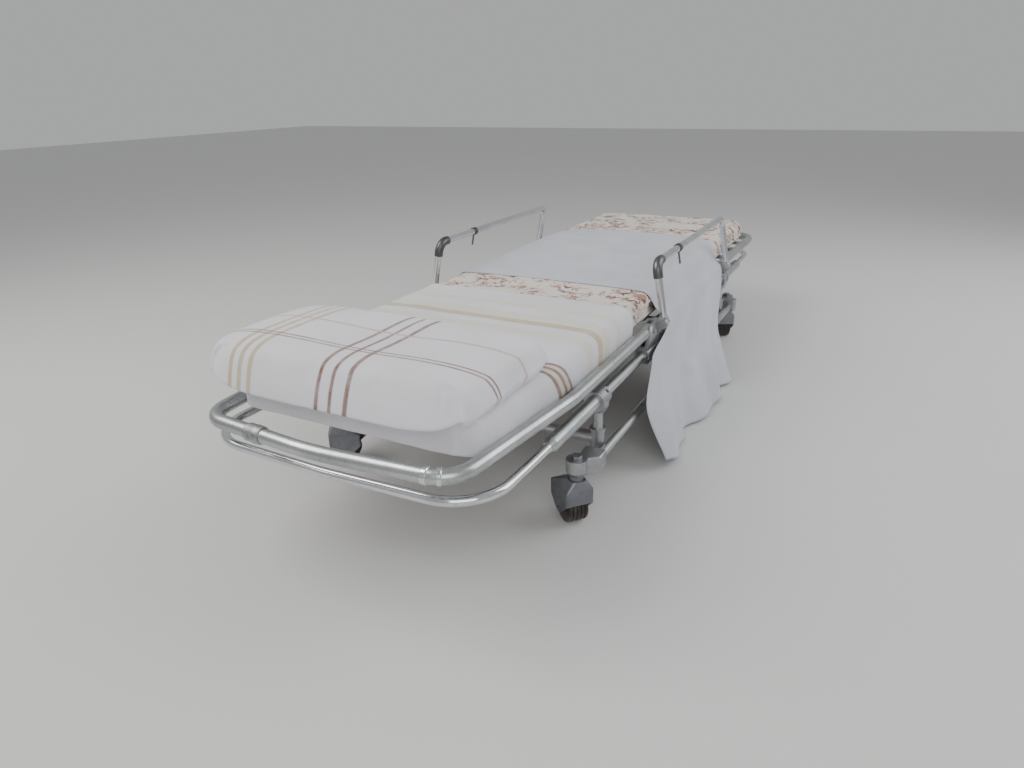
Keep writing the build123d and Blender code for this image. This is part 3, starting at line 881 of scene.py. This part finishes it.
@dataclass
class Wheel:
    """A broad ribbed wheel on its axle, which replaces the plain drum."""

    finishes: Finishes
    name: str
    axis: Vector
    ribs: int = 5
    groove: float = 0.0026
    depth: float = 0.0022
    half: float = 0.0205
    hub: float = 0.017
    dish: float = 0.0015

    def build(self) -> None:
        """Turns the tread and the hub discs about the axle."""
        node = f"caster_wheel_{self.name}"
        low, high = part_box(node)
        centre = (low + high) / 2
        radius = (high.z - low.z) / 2
        half = self.half
        inner = -half + self.dish
        profile = [(-half, 0.0), (-half, self.hub), (inner, self.hub + self.dish), (inner, radius - 0.006),
                   (-half, radius - 0.004), (-half + 0.001, radius - 0.001), (-half + 0.003, radius)]
        pitch = 2 * half / self.ribs
        for index in range(1, self.ribs):
            middle = -half + pitch * index
            profile += [(middle - self.groove / 2, radius), (middle - self.groove / 4, radius - self.depth),
                        (middle + self.groove / 4, radius - self.depth), (middle + self.groove / 2, radius)]
        profile += [(-d, r) for d, r in reversed(profile[:7])]
        piece = finish_mesh(turned(profile, centre, self.axis, 72), f"wheel_{self.name}_tread",
                            self.finishes.rubber)
        sharpen(piece, 50)
        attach(piece, f"wheel_{self.name}")
        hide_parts(node)
        LOG.info("wheel %s made", self.name)


@dataclass
class Mattress:
    """One long thin mattress in sprigged ticking, with corded edges."""

    finishes: Finishes
    bottom: float = 0.2636
    top: float = 0.3333
    half_width: float = 0.2625
    head_y: float = -0.903
    foot_y: float = 0.923
    corner: float = 0.035
    rim: float = 0.021
    hinge: Pair = (-0.300, -0.112)
    cord: float = 0.0022
    slices: tuple[int, int] = (18, 60)
    crown: float = 0.004
    crease: float = 0.005
    lumps: Pair = (0.0015, 0.0012)

    @staticmethod
    def taper(y: float) -> float:
        """How much the mattress narrows between the head's side tubes, as a share."""
        narrowing, start, span = 0.083, -0.640, 0.265
        return 1.0 - narrowing * max(0.0, min(1.0, (start - y) / span))

    def build(self) -> None:
        """Builds the filled body and its two cords."""
        bm = bmesh.new()
        bmesh.ops.create_cube(bm, size=1.0)
        size = Vector((2 * self.half_width, self.foot_y - self.head_y, self.top - self.bottom))
        middle = Vector((0, (self.foot_y + self.head_y) / 2, (self.top + self.bottom) / 2))
        bmesh.ops.scale(bm, vec=size, verts=bm.verts)
        bmesh.ops.translate(bm, vec=middle, verts=bm.verts)
        upright = [e for e in bm.edges if abs(e.verts[0].co.z - e.verts[1].co.z) > 0.01]
        round_off(bm, upright, self.corner)
        rims = [e for e in bm.edges if abs(e.verts[0].co.z - e.verts[1].co.z) < 1e-6]
        round_off(bm, rims, self.rim)
        slice_evenly(bm, 1, self.head_y, self.foot_y, self.slices[1])
        slice_evenly(bm, 0, -self.half_width, self.half_width, self.slices[0])
        for vert in bm.verts:
            self._swell(vert.co)
        body = finish_mesh(bm, "mattress", self.finishes.ticking)
        settle(body, 1)
        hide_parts("mattress_head", "mattress_foot")
        self._bend(body)
        self._cord("mattress_cord_top", self.top - self.rim)
        self._cord("mattress_cord_bottom", self.bottom + self.rim)
        LOG.info("mattress made")

    def _swell(self, point: Vector) -> None:
        """Crowns and dimples the top and creases it over the hinge.

        Args:
            point: a point of the plain block, moved in place.
        """
        rise = (point.z - self.bottom) / (self.top - self.bottom)
        across = 1 - (point.x / self.half_width) ** 4
        lump = noise.noise(Vector((point.x * 6, point.y * 5, 2.0)))
        if rise > 0.6:
            point.z -= self.crown * (1 - across) - self.lumps[1] * lump * across
            point.z -= self.crease * math.exp(-((point.y - sum(self.hinge) / 2) / 0.02) ** 2)
        elif rise > 0.3:
            point.x += math.copysign(self.lumps[0], point.x) * lump
        point.x *= self.taper(point.y)

    def _bend(self, piece: Piece) -> None:
        """Bakes a piece's placement into its mesh."""
        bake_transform(piece)

    def _cord(self, name: str, z: float) -> None:
        """A round cord sewn round the rim at one height.

        Args:
            name: the cord's name.
            z: its height.
        """
        bm = bmesh.new()
        corner, stand_off = self.corner, 0.0005
        centre_y = (self.foot_y + self.head_y) / 2
        reach_x = self.half_width + stand_off
        reach_y = (self.foot_y - self.head_y) / 2 + stand_off
        points = []
        for qx, qy, start in ((1, 1, 0), (-1, 1, 90), (-1, -1, 180), (1, -1, 270)):
            for step in range(7):
                angle = math.radians(start + 15 * step)
                points.append((qx * (reach_x - corner) + corner * math.cos(angle),
                               centre_y + qy * (reach_y - corner) + corner * math.sin(angle)))
        loop: list[Pair] = []
        for a, b in zip(points, points[1:] + points[:1]):
            count = max(1, int(math.dist(a, b) / 0.02))
            loop += [(a[0] + (b[0] - a[0]) * k / count, a[1] + (b[1] - a[1]) * k / count)
                     for k in range(count)]
        rings = []
        loop = [(x * self.taper(y), y) for x, y in loop]
        for index, (x, y) in enumerate(loop):
            ahead, behind = loop[(index + 1) % len(loop)], loop[index - 1]
            out = Vector((ahead[1] - behind[1], behind[0] - ahead[0], 0)).normalized()
            ring = []
            for angle in (math.tau * k / 8 for k in range(8)):
                up = Vector((0, 0, self.cord * math.sin(angle)))
                ring.append(bm.verts.new(Vector((x, y, z)) + out * self.cord * math.cos(angle) + up))
            rings.append([bm.edges.new((ring[k], ring[(k + 1) % 8])) for k in range(8)])
        for first, second in zip(rings, rings[1:] + rings[:1]):
            bmesh.ops.bridge_loops(bm, edges=first + second)
        piece = finish_mesh(bm, name, self.finishes.ticking)
        self._bend(piece)


@dataclass
class Pillow:
    """A soft flat pillow in a plaid case, puckered by a short cloth run.

    It sinks where it reaches past the mattress; sag holds, for the ends and for the
    head side, where that starts, over what distance it grows and how deep it gets.
    """

    finishes: Finishes
    size: Triple = (0.582, 0.334, 0.063)
    centre: Pair = (-0.020, -0.794)
    base: float = 0.3364
    seam: float = 0.020
    cuts: tuple[int, int, int] = (74, 44, 6)
    corner: int = 5
    fullness: float = 4.2
    hollow: float = 0.008
    sag: tuple[Triple, Triple] = ((0.235, 0.080, 0.016), (0.870, 0.080, 0.040))
    deepest: float = 0.046
    frames: int = 18
    reach: float = 0.010

    def build(self) -> None:
        """Shapes the filled case, puckers it, sets it down and dresses it."""
        bm = bmesh.new()
        bmesh.ops.create_cube(bm, size=2.0)
        for axis, count in enumerate(self.cuts):
            slice_evenly(bm, axis, -1, 1, count)
        for vert in bm.verts:
            vert.co = self._filled(vert.co)
        piece = finish_mesh(bm, "head_pillow", self.finishes.plaid)
        self._pucker(piece)
        for vert in piece.data.vertices:
            vert.co = self._seat(vert.co)
        settle(piece, 1)
        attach(piece, "backrest")
        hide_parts("pillow")
        LOG.info("pillow made")

    def _filled(self, share: Vector) -> Vector:
        """The full case about its own middle.

        Args:
            share: place in the case, each part between -1 and 1.

        Returns:
            the point.
        """
        a, b, c = share
        rim = max(abs(a), abs(b))
        draw = rim / max(1e-6, (abs(a) ** self.corner + abs(b) ** self.corner) ** (1 / self.corner))
        a, b = a * draw, b * draw
        full = max(0.0, 1 - rim**self.fullness) ** 0.5 * (1 - 0.18 * b * b)
        thick = self.size[2] / 2 * c * (0.05 + 0.95 * full)
        return Vector((self.size[0] / 2 * a, self.size[1] / 2 * b, thick))

    def _pucker(self, piece: Piece) -> None:
        """Lets cloth a little too large for its filling wrinkle, and caps how far it moves.

        Args:
            piece: the case about its own middle.
        """
        start = [v.co.copy() for v in piece.data.vertices]
        cloth = piece.modifiers.new("cloth", "CLOTH")
        settings = cloth.settings
        settings.quality = 6
        settings.mass = 0.3
        settings.tension_stiffness = settings.compression_stiffness = 15.0
        settings.shear_stiffness = 5.0
        settings.bending_stiffness = 0.25
        settings.shrink_min = -0.05
        settings.use_pressure = True
        settings.uniform_pressure_force = 3.0
        settings.effector_weights.gravity = 0.0
        cloth.point_cache.frame_start = 1
        cloth.point_cache.frame_end = self.frames
        for frame in range(1, self.frames + 1):
            bpy.context.scene.frame_set(frame)
        settle(piece)
        bpy.context.scene.frame_set(1)
        for vert, old in zip(piece.data.vertices, start):
            move = vert.co - old
            if move.length > self.reach:
                vert.co = old + move * (self.reach / move.length)

    def _seat(self, point: Vector) -> Vector:
        """Sets a point down on the sheet, with a hollow on top and a flat underside.

        Args:
            point: a point of the case about its own middle.

        Returns:
            the point in place.
        """
        worn = math.exp(-((point.x - 0.03) / 0.12) ** 2 - (point.y / 0.1) ** 2) if point.z > 0 else 0.0
        z = max(self.base + self.seam + point.z - self.hollow * worn, self.base)
        low = 1 - min(1.0, max(0.0, z - self.base - self.seam) / 0.040)
        place = Vector((self.centre[0] + point.x, self.centre[1] + point.y, z))
        place.z -= self._droop(place) * (0.20 + 0.80 * low)
        return place

    def _droop(self, point: Vector) -> float:
        """How far the pillow sinks where it overhangs the mattress.

        Args:
            point: a point in place.

        Returns:
            the drop.
        """
        drop = 0.0
        for place, (start, span, depth) in zip((abs(point.x), -point.y), self.sag):
            drop += depth * min(1.0, max(0.0, place - start) / span) ** 2
        return min(self.deepest, drop)


@dataclass
class BottomSheet:
    """The striped sheet tucked round the head half of the mattress.

    line is its cross-section from the middle to one side, head_line the one that
    turns down over the head end, with distances from there.
    """

    finishes: Finishes
    head_y: float = -0.9062
    foot_y: float = -0.268
    corner: float = 0.036
    half_width: float = 0.2690
    slant: float = 0.075
    slant_y: float = -0.665
    ripple: float = 0.0016
    pull: float = 0.0026
    line: Bend = Bend(((0.0, 0.3347), (0.12, 0.3343), (0.2, 0.3333), (0.232, 0.3326), (0.2480, 0.3310),
                       (0.2605, 0.3242), (0.2668, 0.3150), (0.2686, 0.3040), (0.2688, 0.2900),
                       (0.2688, 0.2650)))
    head_line: Bend = Bend(((0.060, 0.3348), (0.036, 0.3347), (0.0190, 0.3340), (0.0060, 0.3300),
                            (-0.0012, 0.3200), (-0.0024, 0.3050), (-0.0026, 0.2880), (-0.0026, 0.2650)))

    def _length(self) -> float:
        """Length of the sheet's cut."""
        return self.foot_y - self.head_y - self.head_line.points[0][0] + self.head_line.length()

    def _place(self, u: float, v: float) -> Vector:
        """A point of the sheet by its place in the cut.

        Args:
            u: share of the width, from 0 to 1.
            v: share of the length, from the head edge to the foot edge.

        Returns:
            the point.
        """
        s = (2 * u - 1) * self.line.length()
        x, z = self.line.at(abs(s))
        turn = self.head_line.length()
        along = v * self._length()
        inside = min(1.0, abs(s) / 0.2)
        if along < turn:
            offset, end_z = self.head_line.at(turn - along)
            y = self.head_y + offset
            z = min(z, end_z)
        else:
            y = self.head_y + self.head_line.points[0][0] + along - turn
        beyond = min(1.0, max(0.0, (abs(s) - 0.225) / 0.09))
        x *= Mattress.taper(y)
        x, y = self._rounded(x, y)
        y += self.slant * beyond * math.exp(-((y - self.slant_y) / 0.085) ** 2)
        ripple = noise.noise(Vector((s * 9, y * 7, 4.0))) * self.ripple
        pull = self.pull * folds(y * 1.6 + abs(s) * 0.9, s, 1.0) * inside
        edge = min(1.0, max(0.0, (abs(s) - 0.24) / 0.04))
        x += (0.0010 + 0.4 * pull) * edge
        z += (abs(ripple) + 0.7 * max(0.0, pull)) * (1 - edge)
        return Vector((math.copysign(x, s), y, z))

    def _rounded(self, x: float, y: float) -> Pair:
        """Draws a point in to the rounded corners at the head end.

        Args:
            x: distance from the middle.
            y: place along the cot.

        Returns:
            its new x and y.
        """
        centre_x = self.half_width * Mattress.taper(-0.9) - self.corner
        centre_y = self.head_y + self.corner
        if x <= centre_x or y >= centre_y:
            return x, y
        reach = math.hypot(x - centre_x, y - centre_y)
        if reach <= self.corner:
            return x, y
        share = self.corner / reach
        return centre_x + (x - centre_x) * share, centre_y + (y - centre_y) * share

    def build(self) -> None:
        """Lays the sheet and logs the size of its cut."""
        width = 2 * self.line.length()
        length = self._length()
        piece = cloth_grid("bottom_sheet", 130, 150, (width, length), 0.0008, self._place,
                           self.finishes.striped)
        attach(piece, "backrest")
        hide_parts("striped_sheet")
        LOG.info("striped sheet made: %.2f by %.2f m", width, length)


@dataclass
class TopSheet:
    """The white sheet across the foot half, hanging to the floor on both sides.

    line is its cross-section from the middle over the mattress and a side tube to
    where it starts to fall. waist_y gives its head and foot edges there, head_reach and
    foot_reach how far they move towards the head, high up and low down, and hem_x how
    far the hem stands out at both edges.
    """

    finishes: Finishes
    line: Bend = Bend(((0.0, 0.3345), (0.12, 0.3337), (0.2, 0.3326), (0.232, 0.3320), (0.2475, 0.3308),
                       (0.2595, 0.3240), (0.2670, 0.3150), (0.2725, 0.3070), (0.2795, 0.2970),
                       (0.2905, 0.2872), (0.3010, 0.2800), (0.3065, 0.2700), (0.3090, 0.2570)))
    fall: float = 0.272
    head_y: float = -0.122
    foot_y: float = 0.560
    waist_y: Pair = (-0.133, 0.420)
    head_reach: Pair = (0.118, 0.094)
    foot_reach: Pair = (0.170, 0.022)
    hem_x: Pair = (0.374, 0.404)
    hem_z: float = 0.006
    limits_x: Pair = (0.3085, 0.409)
    laid_fold: float = 0.0050
    laid_rough: float = 0.0055
    broad_fold: float = 0.0125
    small_fold: float = 0.0065
    crease: float = 0.0100
    lobe: float = 0.0110
    edge: float = 0.0060

    @staticmethod
    def _ease(value: float, low: float, high: float) -> float:
        """A smooth step from 0 at low to 1 at high."""
        share = max(0.0, min(1.0, (value - low) / (high - low)))
        return share * share * (3 - 2 * share)

    def _top(self, s: float, v: float) -> Vector:
        """A point of the part that lies on the mattress and over the side tube.

        Args:
            s: length of cloth from the middle, below 0 to the left.
            v: share of the length, from the head edge to the foot edge.

        Returns:
            the point.
        """
        top = self.line.length()
        d = abs(s)
        x, z = self.line.at(d)
        share = self._ease(d, 0.17, top)
        near = self.head_y + (self.waist_y[0] - self.head_y) * share
        far = self.foot_y + (self.waist_y[1] - self.foot_y) * share
        y = near + (far - near) * v
        fold = folds(y * 0.55 + d * 0.5, d * 1.3, 3.0 + (s > 0))
        rough = noise.noise(Vector((s * 6, y * 7, 9.0)))
        loose = min(1.0, 6 * v, 6 * (1 - v))
        rise = self.laid_fold * max(0.0, fold) + self.laid_rough * abs(rough)
        z += rise * (1 - share) * (0.04 + 0.96 * loose)
        x += 0.0022 * max(0.0, fold) * share
        return Vector((math.copysign(x, s), y, z))

    def _place(self, u: float, v: float) -> Vector:
        """A point of the sheet by its place in the cut.

        Args:
            u: share of the width, from 0 to 1.
            v: share of the length, from the head edge to the foot edge.

        Returns:
            the point.
        """
        top = self.line.length()
        s = (2 * u - 1) * (top + self.fall)
        if abs(s) <= top:
            return self._top(s, v)
        t = (abs(s) - top) / self.fall
        near = self.waist_y[0] - self.head_reach[0] * self._ease(t, 0.0, 0.14)
        near -= self.head_reach[1] * self._ease(t, 0.04, 0.55)
        far = self.waist_y[1] - self.foot_reach[0] * self._ease(t, 0.0, 0.52)
        far -= self.foot_reach[1] * self._ease(t, 0.55, 1.0)
        y = near + (far - near) * v
        x0, z0 = self.line.points[-1]
        hem = self.hem_x[0] + (self.hem_x[1] - self.hem_x[0]) * v
        x = x0 + (hem - x0) * t**0.95
        tip = 0.016 * math.exp(-(v / 0.07) ** 2)
        z = z0 + (self.hem_z + tip + 0.003 * math.sin(5 * v + 1) ** 2 - z0) * t
        side = float(s > 0)
        drift = noise.noise(Vector((v * 2.3, t * 1.1, 5.0 + side)))
        broad = math.sin(math.tau * (1.9 * v + 0.30 * t + 0.16 * drift) + 2.9 + 1.9 * side)
        small = math.sin(math.tau * (4.3 * v - 0.25 * t + 0.45 * drift) + 2.0 * side)
        open_edge = math.exp(-(v / 0.085) ** 2) * self._ease(t, 0.1, 0.7)
        crease = math.exp(-(((v - 0.20 - 0.60 * t) / 0.040) ** 2)) * self._ease(0.70 - t, 0.0, 0.3)
        lobe = math.exp(-(((v - 0.11) / 0.07) ** 2)) * t * t
        x += (self.broad_fold * broad + self.small_fold * small) * t**0.5 + self.crease * crease * t**0.3
        x += self.lobe * lobe + self.edge * open_edge * (1 - t)
        x = min(max(x, self.limits_x[0]), self.limits_x[1])
        return Vector((math.copysign(x, s), y, z))

    def build(self) -> None:
        """Lays the sheet and logs the size of its cut."""
        width = 2 * (self.line.length() + self.fall)
        length = self.foot_y - self.head_y
        piece = cloth_grid("top_sheet", 190, 110, (width, length), 0.0009, self._place,
                           self.finishes.white)
        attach(piece, "frame")
        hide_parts("white_sheet", "sheet_flap_right", "sheet_flap_left")
        LOG.info("white sheet made: %.2f by %.2f m", width, length)


@dataclass
class Studio:
    """Floor, light and the camera at the photograph's angle."""

    eye: Triple = (0.7515, -1.7203, 0.7846)
    turn: Triple = (67.50025, 1.10797, 27.92265)
    lens: float = 25.3125

    def build(self) -> None:
        """Makes the floor, the lights and the camera."""
        bm = bmesh.new()
        bmesh.ops.create_grid(bm, x_segments=2, y_segments=2, size=12.0)
        floor = finish_mesh(bm, "floor", FloorFinish().make(), smooth=False)
        data = bpy.data.cameras.new("camera")
        data.lens = self.lens
        data.sensor_width = 36.0
        camera = bpy.data.objects.new("camera", data)
        camera.location = self.eye
        camera.rotation_euler = [math.radians(a) for a in self.turn]
        bpy.context.scene.collection.objects.link(camera)
        bpy.context.scene.camera = camera
        for name, spot, size, power, tint in (
            ("key", (-1.6, -1.4, 2.4), 1.8, 52.0, (1.0, 0.98, 0.95)),
            ("window", (2.1, 1.2, 1.9), 2.2, 40.0, (0.97, 0.98, 1.0)),
            ("fill", (1.7, -2.7, 1.6), 2.0, 30.0, (1.0, 1.0, 1.0)),
        ):
            self._light(name, Vector(spot), size, power, tint)
        world = bpy.data.worlds.new("room")
        world.use_nodes = True
        sky = world.node_tree.nodes["Background"]
        sky.inputs["Color"].default_value = (0.86, 0.87, 0.88, 1)
        sky.inputs["Strength"].default_value = 0.52
        bpy.context.scene.world = world
        LOG.info("studio made")

    def _light(self, name: str, spot: Vector, size: float, power: float, tint: Colour) -> None:
        """One soft square light that looks at the cot.

        Args:
            name: the light's name.
            spot: where it stands.
            size: length of its side.
            power: its power in watts.
            tint: its colour.
        """
        data = bpy.data.lights.new(name, "AREA")
        data.energy = power
        data.size = size
        data.color = tint
        lamp = bpy.data.objects.new(name, data)
        lamp.location = spot
        lamp.rotation_euler = (Vector((0, -0.2, 0.25)) - spot).to_track_quat("-Z", "Y").to_euler()
        bpy.context.scene.collection.objects.link(lamp)


def main() -> None:
    """Builds the looks in order and reports each piece."""
    logging.basicConfig(level=logging.INFO, format="%(name)s: %(message)s")
    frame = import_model()
    finishes = Finishes()
    Studio().build()
    tubework = Tubework(finishes, frame["nodes"])
    tubework.dress()
    tubework.rivets()
    tubework.bolts()
    tubework.bands()
    for joint in frame["joints"]:
        if joint["name"].endswith("_roll"):
            name = joint["name"].removeprefix("wheel_").removesuffix("_roll")
            Wheel(finishes, name, Vector(joint["axis"])).build()
    Mattress(finishes).build()
    BottomSheet(finishes).build()
    TopSheet(finishes).build()
    Pillow(finishes).build()


if __name__ == "__main__":
    main()
